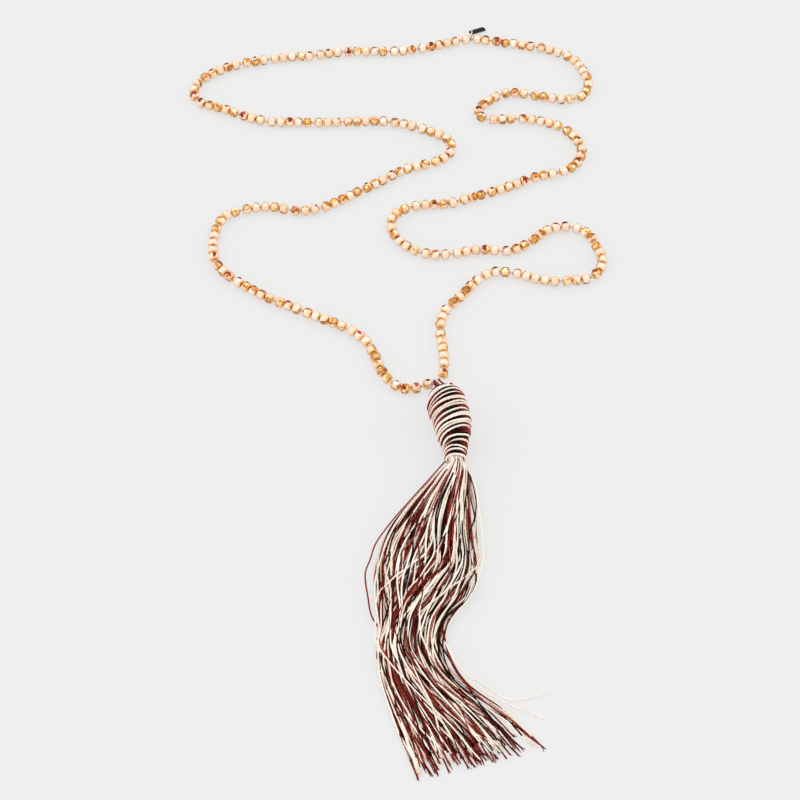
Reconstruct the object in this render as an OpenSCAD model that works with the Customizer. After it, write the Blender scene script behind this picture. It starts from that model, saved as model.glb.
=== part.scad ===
// Long bead necklace with a thread tassel, laid out flat in loose loops.
// Drilled glass rondelles sit on a knotted thread in groups of three and five.
// The thread is one closed loop. A wound tassel hangs on it at the near end,
// and a wire ring with a plain bar tag at the far end.

/* [Beads] */
// Diameter of a bead across its girdle
bead_d = 6; // [5:0.5:6]
// Length of a bead along the thread
bead_l = 4.9; // [4:0.1:5.2]
// Diameter of the flat face round the hole
bead_face_d = 2.2; // [2.1:0.1:2.6]
// Diameter of the drilled hole
bead_hole_d = 1.4; // [1.3:0.1:1.6]
// Slack between two beads that lie in line
bead_slack = 0.36; // [0.3:0.02:0.6]
// Extra room at a knot
knot_room = 1.5; // [1.2:0.1:2.2]
// Beads in a long group between two knots
long_group = 5; // [4:1:6]
// Beads in a short group between two knots
short_group = 3; // [2:1:4]

/* [Thread] */
// Diameter of the beading thread
thread_d = 0.6; // [0.5:0.1:0.7]
// Diameter of a knot
knot_d = 1.6; // [1.3:0.1:1.8]

/* [Tassel] */
// Diameter of one tassel cord
cord_d = 1.2; // [1:0.1:1.3]
// Length of the wound head
head_l = 44.5; // [42:0.5:45]
// Thickness of the winding round the head
winding_t = 1.3; // [1:0.1:1.6]
// Rounds of the winding that show as ribs
head_rounds = 15; // [10:1:18]
// Locks in the lower layer of the skirt
low_locks = 9; // [7:1:10]
// Locks in the upper layer of the skirt
high_locks = 6; // [4:1:7]

/* [Ring and tag] */
// Outer diameter of the wire ring
ring_d = 7.5; // [7:0.5:8]
// Diameter of the ring's wire
wire_d = 0.9; // [0.8:0.1:1]
// Length of the bar tag
tag_l = 12; // [9:0.5:14]
// Width of the bar tag
tag_w = 3; // [2.8:0.1:3.4]
// Thickness of the bar tag
tag_t = 1; // [0.8:0.1:1.2]

/* [Hidden] */

// The strand's height above the surface, at its axis
strand_z = bead_d / 2;

// Route of the left-hand half, from the ring to the tassel
left_route = [
    [49, 250], [36, 246.5], [20, 241.5], [3, 238.5], [-14, 238.5], [-31, 238], [-48, 234.5],
    [-65, 233], [-81, 230], [-96, 226], [-110, 218], [-118, 209], [-119, 199], [-113, 192],
    [-103, 189], [-90, 183], [-76, 177.5], [-60, 176.5], [-42, 176], [-24, 177], [-8, 177.5],
    [9, 174.5], [23, 168.5], [33, 163], [35.5, 153.5], [29, 145], [18, 140.5], [6, 136],
    [-7, 127], [-22, 117], [-38, 107], [-53, 103.5], [-69, 107], [-83, 105], [-95, 100],
    [-100, 89], [-101, 75], [-98, 62], [-88, 51], [-73, 40], [-57, 31.5], [-42, 24],
    [-26, 16], [-15, 7.5], [-9, -4], [-5, -15.5], [2, -25.5], [10.5, -28.5], [18, -25.5],
    [27.3, -22.8]
];

// Route of the right-hand half, from the ring to the tassel
right_route = [
    [49, 250], [64, 247.5], [81, 244], [98, 239.5], [110, 232], [116.5, 221], [119, 209],
    [115, 199], [105.5, 196], [93, 197.5], [80, 201], [68, 201.5], [59, 195.5], [51.5, 187],
    [54, 180], [63, 178.5], [75, 179.5], [90, 177], [102, 171.5], [110, 161], [112, 150.5],
    [107, 140.5], [97.5, 134.5], [83, 130.5], [66, 122], [49, 115.5], [33, 109.5], [16, 108],
    [4, 103], [-0.5, 94], [2.5, 84], [10, 75], [21, 70], [34, 70], [50, 73.5], [67, 72.5],
    [78, 78.5], [88, 88], [100, 91.5], [110.5, 87.5], [116.5, 76], [119, 63], [113, 53],
    [101, 50], [86, 50], [71, 55], [57, 56.5], [47, 49], [38.5, 38], [29.5, 27], [27, 14],
    [28.5, 0], [28.8, -13], [27.3, -22.8]
];

// Samples of the smooth curve between two points of a route
curve_steps = 16;
// Stretch of the curve over which a heading is taken
aim_span = 2;
// Room along the thread for the wire ring, between the two beads beside it
ring_room = 2.3;
// Room along the thread for the tassel's loop of cords, at the end of the left half
loop_room = 4.6;
// Room between the tassel's corner of the thread and the last bead of the right half
corner_room = 1.4;
// Places of the loop of cords and of the thread's last ring, back from the end of the left half
loop_back = 2.5;
corner_back = 0.4;

// Smooth curve through a route's points
function curve_at(p, i, t) =
    let (
        a = i > 0 ? p[i - 1] : 2 * p[0] - p[1],
        b = p[i],
        c = p[i + 1],
        d = i + 2 < len(p) ? p[i + 2] : 2 * c - b
    )
    (2 * b + (c - a) * t + (2 * a - 5 * b + 4 * c - d) * t * t + (3 * b - a - 3 * c + d) * t * t * t) / 2;
function curve(p) = concat(
    [for (i = [0 : len(p) - 2]) for (k = [0 : curve_steps - 1]) curve_at(p, i, k / curve_steps)],
    [p[len(p) - 1]]
);

// Length run at each point of a curve
function run(c) = [
    for (i = 0, s = 0; i < len(c); s = s + norm(c[min(i + 1, len(c) - 1)] - c[i]), i = i + 1) s
];

// A strand: rows of [length run, x], rows of [length run, y], and its whole length
function run_rows(c, s, axis) = [for (i = [0 : len(c) - 1]) [s[i], c[i][axis]]];
function strand(p) =
    let (c = curve(p), s = run(c))
    [run_rows(c, s, 0), run_rows(c, s, 1), s[len(s) - 1]];

// Point, heading and change of heading of a strand at a length
function point_at(st, s) = [lookup(s, st[0]), lookup(s, st[1])];
function chord(st, s, span) = point_at(st, s + span / 2) - point_at(st, s - span / 2);
function heading(v) = atan2(v[1], v[0]);
function turn(st, s, span) =
    let (d = heading(chord(st, s + span, aim_span)) - heading(chord(st, s, aim_span)))
    abs(d - 360 * round(d / 360));

// Lengths at which the beads sit. Beads in a bend stand further apart, and so do two beads
// with a knot between them.
function knot_after(i, first) =
    let (k = (i - first) % (long_group + short_group))
    k == 0 || k == long_group;
function bend_room(st, s) = bead_face_d * tan(turn(st, s, bead_l + 1) / 2);
function bead_step(st, s, i, first) =
    bead_l + bead_slack + bend_room(st, s) + (knot_after(i, first) ? knot_room : 0);
function bead_places(st, room, first) = [
    for (
        i = 0, s = (ring_room + bead_l) / 2;
        s < st[2] - room - bead_l / 2;
        s = s + bead_step(st, s, i, first), i = i + 1
    ) s
];

left_strand = strand(left_route);
right_strand = strand(right_route);
// The first knot comes after the first bead on the left, and after the second on the right
left_first = 0;
right_first = 1 - long_group - short_group;
left_beads = bead_places(left_strand, loop_room, left_first);
right_beads = bead_places(right_strand, corner_room, right_first);

// Rings of a bead between its face and its girdle.
// Columns: share of the bead's radius, share of its half length
bead_rows = [[0.78, 0.68], [0.97, 0.28]];

function reversed(list) = [for (i = [len(list) - 1 : -1 : 0]) list[i]];
function bead_side(end) = concat(
    [[bead_hole_d / 2, end * bead_l / 2], [bead_face_d / 2, end * bead_l / 2]],
    [for (row = bead_rows) [row[0] * bead_d / 2, end * row[1] * bead_l / 2]]
);

module bead() {
    rotate([0, 90, 0])
        rotate_extrude($fn = 36)
            polygon(concat(bead_side(-1), [[bead_d / 2, 0]], reversed(bead_side(1))));
}

module bead_string(st, places) {
    for (s = places) {
        middle = (point_at(st, s + bead_l / 2) + point_at(st, s - bead_l / 2)) / 2;
        translate([middle[0], middle[1], strand_z])
            rotate([0, 0, heading(chord(st, s, bead_l))])
                bead();
    }
}

module beads_left() {
    color("peachpuff") bead_string(left_strand, left_beads);
}

module beads_right() {
    color("navajowhite") bead_string(right_strand, right_beads);
}

// Tube through rings of [point, radius]. Every ring stands on the same reference direction.
module tube(rings, ref, sides, closed) {
    n = len(rings);
    last = closed ? n - 1 : n - 2;
    function ahead(i) = closed ? rings[(i + 1) % n][0] : rings[min(i + 1, n - 1)][0];
    function behind(i) = closed ? rings[(i + n - 1) % n][0] : rings[max(i - 1, 0)][0];
    points = [
        for (i = [0 : n - 1])
            let (t = ahead(i) - behind(i), side = cross(ref, t / norm(t)))
                for (k = [0 : sides - 1])
                    rings[i][0] + rings[i][1] * (cos(360 * k / sides) * side + sin(360 * k / sides) * ref)
    ];
    walls = [
        for (i = [0 : last]) for (k = [0 : sides - 1])
            let (a = i * sides, b = ((i + 1) % n) * sides, m = (k + 1) % sides)
                for (f = [[a + k, b + k, b + m], [a + k, b + m, a + m]]) f
    ];
    caps = closed ? [] : [
        [for (k = [0 : sides - 1]) k],
        [for (k = [sides - 1 : -1 : 0]) (n - 1) * sides + k]
    ];
    polyhedron(points, concat(walls, caps));
}

// Rings of the thread: one in each gap between two beads, and three where the gap holds a knot
thread_sides = 6;
knot_reach = 0.45 * knot_d;
function thread_ring(p, d) = [[p[0], p[1], strand_z], d / 2];
function knot_rings(st, s) = [
    thread_ring(point_at(st, s - knot_reach), thread_d),
    thread_ring(point_at(st, s), knot_d),
    thread_ring(point_at(st, s + knot_reach), thread_d)
];
function gap_rings(st, places, first) = [
    for (i = [0 : len(places) - 2])
        let (s = (places[i] + places[i + 1]) / 2)
            each (knot_after(i, first) ? knot_rings(st, s) : [thread_ring(point_at(st, s), thread_d)])
];
function after_last(st, places) = point_at(st, places[len(places) - 1] + (bead_l + bead_slack) / 2);

module thread() {
    corner = [
        after_last(left_strand, left_beads),
        point_at(left_strand, left_strand[2] - corner_back),
        after_last(right_strand, right_beads)
    ];
    rings = concat(
        [thread_ring(left_route[0], thread_d)],
        gap_rings(left_strand, left_beads, left_first),
        [for (p = corner) thread_ring(p, thread_d)],
        reversed(gap_rings(right_strand, right_beads, right_first))
    );
    color("gainsboro") tube(rings, [0, 0, 1], thread_sides, true);
}

// Middle of the head's top, and a point further down its axis
head_top = [28.8, -36, 12];
head_aim = [33.8, -80, 8];
head_axis = (head_aim - head_top) / norm(head_aim - head_top);

// The head's outline. Columns: share of its length, outer radius
head_rows = [
    [0, 5.5], [0.045, 7.8], [0.11, 9.5], [0.2, 10.3], [0.31, 10.5], [0.43, 10.2], [0.54, 9.6],
    [0.65, 8.8], [0.74, 7.8], [0.83, 6.6], [0.9, 5.9], [1, 5.3]
];
function head_r(share) = lookup(share, head_rows);

// One round of the winding. Columns: share of its width, depth below the outline
groove = 0.45;
round_rows = [[0.04, groove], [0.3, 0], [0.7, 0], [0.96, groove]];

// Puts a piece that runs along +Z on the head's axis
module on_head() {
    translate(head_top)
        rotate([0, acos(head_axis[2]), atan2(head_axis[1], head_axis[0])])
            children();
}

module tassel_head() {
    rounds = [
        for (i = [0 : head_rounds - 1])
            for (row = round_rows)
                let (share = (i + row[0]) / head_rounds)
                    [head_r(share) - row[1], share * head_l]
    ];
    outside = concat([[head_r(0) - groove, 0]], rounds, [[head_r(1) - groove, head_l]]);
    inside = [for (row = reversed(head_rows)) [row[1] - winding_t, row[0] * head_l]];
    color("linen")
        on_head()
            rotate_extrude($fn = 60)
                polygon(concat(outside, inside));
}

// The loop of cords: its place on the thread, its bend and its three cords side by side
loop_at = point_at(left_strand, left_strand[2] - loop_back);
loop_clear = 0.35;
loop_r = thread_d / 2 + cord_d / 2 + loop_clear;
loop_pitch = cord_d + 0.1;
loop_sides = 8;
loop_run = norm([head_top[0], head_top[1]] - loop_at);
loop_rise = head_top[2] - strand_z;
loop_dir = ([head_top[0], head_top[1]] - loop_at) / loop_run;
loop_side = [-loop_dir[1], loop_dir[0], 0];

// A leg of the loop. Columns: share of the way to the head, share of the rise, half the legs' spread
leg_rows = [[0.35, 0.36, 1.2], [0.75, 0.8, 1.1], [0.955, 1, 1], [1.1, 0.98, 1]];
function leg(side) = [
    for (row = leg_rows) [loop_run * row[0], strand_z + loop_rise * row[1] + side * row[2]]
];
loop_path = concat(
    reversed(leg(1)),
    [for (a = [90 : 22.5 : 270]) [loop_r * cos(a), strand_z + loop_r * sin(a)]],
    leg(-1)
);
function loop_rings(k) = [
    for (q = loop_path)
        [[loop_at[0] + loop_dir[0] * q[0], loop_at[1] + loop_dir[1] * q[0], q[1]]
            + loop_side * k * loop_pitch, cord_d / 2]
];

module tassel_loop() {
    for (k = [-1 : 1])
        color(k == 0 ? "linen" : "brown")
            tube(loop_rings(k), loop_side, loop_sides, false);
}

// The skirt, one row for each section from the neck to the tips.
// Columns: left x, left y, right x, right y, middle height, thickness
skirt_rows = [
    [30.8, -82.5, 37.2, -82, 7.8, 7.2],
    [22, -90, 41.5, -87.5, 7, 9],
    [7, -109, 42.5, -105, 5.6, 9],
    [-2.5, -125.5, 42.5, -125.5, 4.8, 8.6],
    [-6.5, -143, 44, -145, 4.2, 8],
    [-6.5, -162, 39, -161.5, 3.8, 7.4],
    [-5, -178.5, 29, -178, 3.7, 7.4],
    [-6, -193, 28, -193, 3.4, 6.8],
    [-3, -211.5, 36, -210, 3, 5.8],
    [4, -234.5, 53, -226.5, 2.3, 4.6],
    [12.5, -257, 67, -243, 1.5, 3]
];
skirt_last = len(skirt_rows) - 1;

// Share of the last stretch by which a lock's tip runs past the last section, or stops short
tip_shares = [0.1, -0.15, 0.3, 0.05, 0.35, 0, 0.25, -0.1, 0.2];
high_tip_back = 0.2;

// A lock's half width as a share of its room, and its half height as a share of the thickness
lock_width = 0.62;
lock_height = 0.26;
// Height of the two layers as a share of the thickness
low_height = 0.26;
high_height = 0.72;
// Drop of the upper layer towards the edges
crown_drop = 0.75;
// The upper locks wander across the lower ones: share of the width, and degrees a section
wander = 0.09;
wander_turn = 45;
wander_spread = 300;

// Middle of a lock at a section. across runs from 0 at the left edge to 1 at the right edge.
function lock_point(row, across, layer) =
    let (
        x = row[0] + (row[2] - row[0]) * across,
        y = row[1] + (row[3] - row[1]) * across,
        crown = sqrt(1 - crown_drop * pow(2 * across - 1, 2)),
        floor_z = row[4] - row[5] / 2
    )
    [x, y, floor_z + row[5] * (layer == 0 ? low_height : high_height * crown)];
function across_at(across, layer, i) =
    across + (layer == 1 ? wander * sin(wander_turn * i + wander_spread * across) : 0);
function tip_row(share) =
    let (a = skirt_rows[skirt_last - 1], b = skirt_rows[skirt_last])
    concat([for (k = [0 : 3]) b[k] + (b[k] - a[k]) * share], [b[4], b[5]]);

module lock_joint(row, across, layer, locks) {
    spread = norm([row[2] - row[0], row[3] - row[1]]) / locks;
    translate(lock_point(row, across, layer))
        scale([spread * lock_width, spread * lock_width, row[5] * lock_height])
            sphere(1, $fn = 6);
}

function rows_to(tip) = concat([for (i = [0 : skirt_last - 1]) skirt_rows[i]], [tip_row(tip)]);

module lock(across, layer, locks, tip) {
    rows = rows_to(tip);
    for (i = [0 : skirt_last - 1])
        hull()
            for (k = [i, i + 1])
                lock_joint(rows[k], across_at(across, layer, k), layer, locks);
}

// The skirt's core, a strip that the locks lie round.
// Its edge as a share of the width, and its height and half height as shares of the thickness
core_edge = 0.16;
core_height = 0.44;
core_half = 0.3;
core_tip = -0.5;

module core() {
    rows = rows_to(core_tip);
    for (i = [0 : skirt_last - 1])
        hull()
            for (row = [rows[i], rows[i + 1]], across = [core_edge, 1 - core_edge])
                translate([
                    row[0] + (row[2] - row[0]) * across,
                    row[1] + (row[3] - row[1]) * across,
                    row[4] + row[5] * (core_height - 0.5)
                ])
                    scale([1, 1, row[5] * core_half])
                        sphere(1, $fn = 6);
}

// The bundle inside the winding, which the core and the locks grow out of
bundle_gap = 0.3;
bundle_start = 0.05;
bundle_end = 1.06;
disc_t = 0.05;
bundle_shares = concat(
    [bundle_start],
    [for (row = head_rows) if (row[0] > bundle_start) row[0]],
    [bundle_end]
);

module bundle() {
    on_head()
        for (i = [0 : len(bundle_shares) - 2])
            hull()
                for (share = [bundle_shares[i], bundle_shares[i + 1]])
                    translate([0, 0, share * head_l])
                        cylinder(h = disc_t, r = head_r(share) - winding_t - bundle_gap, $fn = 16);
}

module tassel_skirt() {
    color("rosybrown") {
        bundle();
        core();
        for (i = [0 : low_locks - 1])
            lock((i + 0.5) / low_locks, 0, low_locks, tip_shares[i % len(tip_shares)]);
        for (i = [0 : high_locks - 1])
            lock((i + 1) / (high_locks + 1), 1, high_locks + 2, tip_shares[i] - high_tip_back);
    }
}

// The ring stands on the surface, round the thread
ring_heading = 84;
ring_lift = 0.02;
ring_clear = 0.4;
ring_r = (ring_d - wire_d) / 2;
ring_dir = [cos(ring_heading), sin(ring_heading), 0];
ring_reach = ring_r - wire_d / 2 - thread_d / 2 - ring_clear;
ring_middle = [left_route[0][0], left_route[0][1], ring_d / 2 + ring_lift] + ring_dir * ring_reach;

module jump_ring() {
    color("silver")
        translate(ring_middle)
            rotate([90, 0, ring_heading])
                rotate_extrude($fn = 48)
                    translate([ring_r, 0])
                        circle(d = wire_d, $fn = 24);
}

// The tag hangs on the far side of the ring and slopes down to the surface
tag_heading = 40;
tag_hole_d = 1.9;
tag_hole_back = 1.6;
tag_corner = 0.3;
tag_drop = 8;
tag_hole_at = ring_middle + ring_dir * ring_r * cos(tag_drop) - [0, 0, ring_r * sin(tag_drop)];
tag_slope = asin((tag_hole_at[2] - tag_t / 2) / (tag_l - tag_hole_back));

module tag_outline() {
    square([tag_l - 2 * tag_corner, tag_w], center = true);
    square([tag_l, tag_w - 2 * tag_corner], center = true);
    for (x = [-1, 1], y = [-1, 1])
        translate([x * (tag_l / 2 - tag_corner), y * (tag_w / 2 - tag_corner)])
            circle(tag_corner, $fn = 16);
}

module tag_bar() {
    color("dimgray")
        translate(tag_hole_at)
            rotate([0, tag_slope, tag_heading])
                translate([0, 0, -tag_t / 2])
                    linear_extrude(tag_t)
                        difference() {
                            translate([tag_l / 2 - tag_hole_back, 0])
                                tag_outline();
                            circle(d = tag_hole_d, $fn = 36);
                        }
}

beads_left();
beads_right();
thread();
tassel_loop();
tassel_head();
tassel_skirt();
jump_ring();
tag_bar();
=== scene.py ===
import math
import bpy
import numpy as np
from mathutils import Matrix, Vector


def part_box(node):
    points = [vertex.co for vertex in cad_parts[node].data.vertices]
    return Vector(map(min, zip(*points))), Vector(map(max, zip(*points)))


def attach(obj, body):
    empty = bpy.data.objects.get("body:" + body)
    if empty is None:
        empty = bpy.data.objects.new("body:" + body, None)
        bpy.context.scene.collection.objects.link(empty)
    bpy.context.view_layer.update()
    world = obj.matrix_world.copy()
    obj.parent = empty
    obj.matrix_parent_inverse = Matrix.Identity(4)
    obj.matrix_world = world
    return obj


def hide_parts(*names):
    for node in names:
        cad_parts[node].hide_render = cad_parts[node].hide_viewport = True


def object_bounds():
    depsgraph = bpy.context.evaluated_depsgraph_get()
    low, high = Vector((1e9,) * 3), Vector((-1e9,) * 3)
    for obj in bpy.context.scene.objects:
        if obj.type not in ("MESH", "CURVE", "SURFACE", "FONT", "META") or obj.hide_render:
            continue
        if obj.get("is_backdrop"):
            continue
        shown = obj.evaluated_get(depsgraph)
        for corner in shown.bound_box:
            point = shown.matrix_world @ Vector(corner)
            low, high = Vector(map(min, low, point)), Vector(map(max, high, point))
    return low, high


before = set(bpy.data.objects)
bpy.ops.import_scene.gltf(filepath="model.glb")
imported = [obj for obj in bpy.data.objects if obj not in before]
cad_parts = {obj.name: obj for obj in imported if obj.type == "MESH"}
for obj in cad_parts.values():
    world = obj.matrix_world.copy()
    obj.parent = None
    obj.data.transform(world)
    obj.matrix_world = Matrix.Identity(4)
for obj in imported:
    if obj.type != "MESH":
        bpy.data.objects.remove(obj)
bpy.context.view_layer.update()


# Camera
# The necklace lies flat on a table and is seen from above its near end,
# with the tassel's tips closest to the eye.
MM = 0.001
# Where the eye is, in mm, how far it looks down, in degrees, and its lens and sensor, in mm
EYE_MM = (5, -773, 920)
LOOK_DOWN = 51.2
LENS = 99
SENSOR = 36

camera_data = bpy.data.cameras.new("camera")
camera_data.lens = LENS
camera_data.sensor_width = SENSOR
camera = bpy.data.objects.new("camera", camera_data)
camera.location = Vector(EYE_MM) * MM
camera.rotation_euler = (math.radians(90 - LOOK_DOWN), 0, 0)
bpy.context.scene.collection.objects.link(camera)
bpy.context.scene.camera = camera


# Beads
# Pressed glass rondelles, opaque peach all through, with ground facets round a drilled hole.
# A gold lustre is fired on from one side, so each bead is half coated and half bare,
# and on the thread they turn every way.
BEAD_R = 3.0
BEAD_L = 4.9
BEAD_SIDES = 10
# Rings of one half, from the hole outwards: radius, place along the hole, share of a step turned
BEAD_RINGS = [
    (0.72, 2.2, 0.0),
    (0.95, BEAD_L / 2, 0.0),
    (1.7, BEAD_L / 2, 0.0),
    (2.65, 1.7, 0.5),
    (BEAD_R, 0.7, 0.0),
]
# The bare glass of the palest and of the deepest bead, and the deeper colour painted along its outline:
# partly the glass's own depth seen edge-on, partly painted shade
PEACH_PALE = "#F6E4D8"
PEACH_DEEP = "#F0D6BC"
PEACH_RIM_SHADE = "#D09444"
# The lustre from its thinnest to its thickest. Its thickest part is painted near white, a painted
# highlight, and its last stop is the painted oxblood patch. The more a facet turns away, the thinner
# and darker its lustre is painted: partly the real shift of a thin film seen slant, partly painted
# shade at the rim.
LUSTRE = [
    (0.0, "#8E4A08"),
    (0.12, "#B8741A"),
    (0.34, "#DCA24A"),
    (0.5, "#FADCB0"),
    (0.8, "#FCF0E6"),
    (0.92, "#FCF0E6"),
    (1.0, "#98280C"),
]
TURNED_AWAY_SHADE = 0.4
# How a bead is coated: how far past its middle the lustre reaches, in radii, how far the coated
# side leans along the hole, how much thicker the lustre gets towards that side, what a bead and a
# facet add to it by chance, and how thick it gets at most
COAT_REACH = (-0.75, 0.2)
COAT_LEAN = 0.4
THICKENS = 0.45
BEAD_CHANCE = 0.3
FACET_CHANCE = 0.25
THICKEST = 0.9
# On some beads an oxblood patch is painted on the lustre, mostly towards the top and the far side: a
# painted reflection of the room's dark far end. The share of such beads, where the patch's middle lies
# and how far that is scattered, the cosine of the patch's reach round its middle, and its thickness
PATCHED = 0.6
PATCH_AIM = (0, 0.7, 0.7)
PATCH_SCATTER = 0.45
PATCH_REACH = 0.86
PATCH_THICK = 1.6
# Round the hole every bead is painted gold, a painted glow standing in for the amber light that the
# glass carries into the gap between two beads; mirrored from bead to bead, the gold lights the gap
# amber.
# The higher the power, the closer the gold keeps to the hole.
HOLE_GOLD_GLOW = "#F8C06C"
HOLE_POWER = 6


def linear(code):
    """The linear RGBA of an sRGB hex colour."""
    channels = [int(code[i : i + 2], 16) / 255 for i in (1, 3, 5)]
    return tuple(c / 12.92 if c <= 0.04045 else ((c + 0.055) / 1.055) ** 2.4 for c in channels) + (1.0,)


def add(material, kind, settings=None, links=None):
    """Adds a shader node, sets its sockets and properties, and links sources to its sockets."""
    node = material.node_tree.nodes.new("ShaderNode" + kind)
    for key, value in (settings or {}).items():
        if key == "stops":
            ramp = node.color_ramp.elements
            while len(ramp) < len(value):
                ramp.new(0.5)
            for stop, (place, code) in zip(ramp, value):
                stop.position = place
                stop.color = linear(code)
        elif isinstance(key, int) or key in node.inputs:
            node.inputs[key].default_value = value
        else:
            setattr(node, key, value)
    for key, source in (links or {}).items():
        material.node_tree.links.new(source, node.inputs[key])
    return node


def new_material(name):
    """A material with no nodes yet."""
    material = bpy.data.materials.new(name)
    material.use_nodes = True
    material.node_tree.nodes.clear()
    return material


# Points of a solid closer than this, in metres, are one, and a heading is found to this, in degrees
SAME_POINT = 1e-6
HEADING_STEP = 0.5


def bead_islands(node):
    """Centre and heading of each loose bead of a CAD string."""
    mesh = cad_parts[node].data
    points = np.empty(len(mesh.vertices) * 3)
    mesh.vertices.foreach_get("co", points)
    points = points.reshape(-1, 3)
    grid = np.round(points / SAME_POINT).astype(np.int64)
    spots, spot_of = np.unique(grid, axis=0, return_inverse=True)
    spot_of = spot_of.ravel()
    edges = np.empty(len(mesh.edges) * 2, np.int32)
    mesh.edges.foreach_get("vertices", edges)
    a, b = spot_of[edges.reshape(-1, 2)].T
    label = np.arange(len(spots))
    settled = False
    while not settled:
        low = np.minimum(label[a], label[b])
        fresh = label.copy()
        np.minimum.at(fresh, a, low)
        np.minimum.at(fresh, b, low)
        fresh = fresh[fresh]
        settled = (fresh == label).all()
        label = fresh
    labels = label[spot_of]
    angles = np.radians(np.arange(0, 180, HEADING_STEP))
    aims = np.stack([np.cos(angles), np.sin(angles)])
    found = []
    for one in np.unique(labels):
        own = points[labels == one]
        reach = own[:, :2] @ aims
        thin = np.argmin(reach.max(0) - reach.min(0))
        centre = (own.min(0) + own.max(0)) / 2
        found.append((centre, np.array([math.cos(angles[thin]), math.sin(angles[thin]), 0])))
    return found


def in_order(beads, start):
    """The beads of a string from the one nearest to start onwards, each facing the next."""
    left = list(beads)
    at = np.array(start)
    line = []
    while left:
        i = min(range(len(left)), key=lambda k: np.linalg.norm(left[k][0] - at))
        centre, axis = left.pop(i)
        if (centre - at) @ axis < 0:
            axis = -axis
        line.append((centre, axis))
        at = centre
    return line


ring_low, ring_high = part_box("jump_ring")
ring_middle = (ring_low + ring_high) / 2
left_beads = in_order(bead_islands("beads_left"), ring_middle)
right_beads = in_order(bead_islands("beads_right"), ring_middle)


def bead_shape():
    """Points of one bead on the X axis, in mm, and its faces."""
    rings = [(r, -x, t) for r, x, t in BEAD_RINGS] + [(r, x, t) for r, x, t in reversed(BEAD_RINGS)]
    points = []
    for r, x, t in rings:
        for k in range(BEAD_SIDES):
            turn = 2 * math.pi * (k + t) / BEAD_SIDES
            points.append((x, r * math.cos(turn), r * math.sin(turn)))
    faces = []
    for i in range(len(rings)):
        j = (i + 1) % len(rings)
        a, b = i * BEAD_SIDES, j * BEAD_SIDES
        step = rings[j][2] - rings[i][2]
        for k in range(BEAD_SIDES):
            m = (k + 1) % BEAD_SIDES
            if step == 0:
                faces.append((a + k, b + k, b + m, a + m))
            elif step > 0:
                faces.append((a + k, b + k, a + m))
                faces.append((a + m, b + k, b + m))
            else:
                faces.append((a + k, b + k, b + m))
                faces.append((a + k, b + m, a + m))
    return np.array(points), faces


def string_of_beads(name, beads, seed):
    """One mesh of all beads of a string, with its coating, its tints and its painted highlight, shade
    and reflection as attributes.
    """
    rng = np.random.default_rng(seed)
    shape, shape_faces = bead_shape()
    points, faces, coat, film, tone, hole = [], [], [], [], [], []
    for i, (centre, axis) in enumerate(beads):
        roll = rng.uniform(0, 2 * math.pi)
        side = np.cross((0, 0, 1), axis)
        up = np.array((0, 0, 1.0))
        across = math.cos(roll) * side + math.sin(roll) * up
        over = math.cos(roll) * up - math.sin(roll) * side
        turned = shape[:, :1] * axis + shape[:, 1:2] * across + shape[:, 2:] * over
        spin = rng.uniform(0, 2 * math.pi)
        lit_from = math.cos(spin) * side + math.sin(spin) * up + rng.normal(0, COAT_LEAN) * axis
        lit_from = lit_from / np.linalg.norm(lit_from)
        by_hole = (np.abs(shape[:, 0]) / (BEAD_L / 2)) ** HOLE_POWER
        level = turned @ lit_from / BEAD_R + rng.uniform(*COAT_REACH)
        thick = THICKENS * level + rng.uniform(0, BEAD_CHANCE)
        # The painted reflection: an oxblood patch towards the room's dark far end
        patch = np.array(PATCH_AIM) + rng.normal(0, PATCH_SCATTER, 3)
        patch = patch / np.linalg.norm(patch)
        patched = rng.uniform() < PATCHED
        points.append(turned * MM + centre)
        for face in shape_faces:
            faces.append([v + i * len(shape) for v in face])
            coat.extend(level[list(face)])
            thickness = np.mean(thick[list(face)]) + rng.uniform(0, FACET_CHANCE)
            middle = np.mean(turned[list(face)], axis=0)
            in_patch = patched and middle @ patch > PATCH_REACH * np.linalg.norm(middle)
            film.append(PATCH_THICK if in_patch else min(thickness, THICKEST))
            hole.extend(by_hole[list(face)])
            if in_patch:
                coat[-len(face):] = [1.0] * len(face)
        tone.extend([rng.uniform(0, 1)] * len(shape_faces))
    mesh = bpy.data.meshes.new(name)
    mesh.from_pydata(np.concatenate(points).tolist(), [], faces)
    mesh.attributes.new("coat", "FLOAT", "CORNER").data.foreach_set("value", coat)
    mesh.attributes.new("film", "FLOAT", "FACE").data.foreach_set("value", film)
    mesh.attributes.new("hole", "FLOAT", "CORNER").data.foreach_set("value", hole)
    mesh.attributes.new("tone", "FLOAT", "FACE").data.foreach_set("value", tone)
    piece = bpy.data.objects.new(name, mesh)
    bpy.context.scene.collection.objects.link(piece)
    return piece


# Opaque pressed glass with a fired gold lustre: bare peach glass looks milky and softly shiny,
# the lustre mirrors the room in gold and amber, facet by facet, with a painted highlight in near white
# and a painted reflection in oxblood.
bead_glass = new_material("pressed_glass_with_gold_lustre")
coat = add(bead_glass, "Attribute", {"attribute_name": "coat"})
film = add(bead_glass, "Attribute", {"attribute_name": "film"})
tone = add(bead_glass, "Attribute", {"attribute_name": "tone"})
hole = add(bead_glass, "Attribute", {"attribute_name": "hole"})
place = add(bead_glass, "TexCoord")
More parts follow.
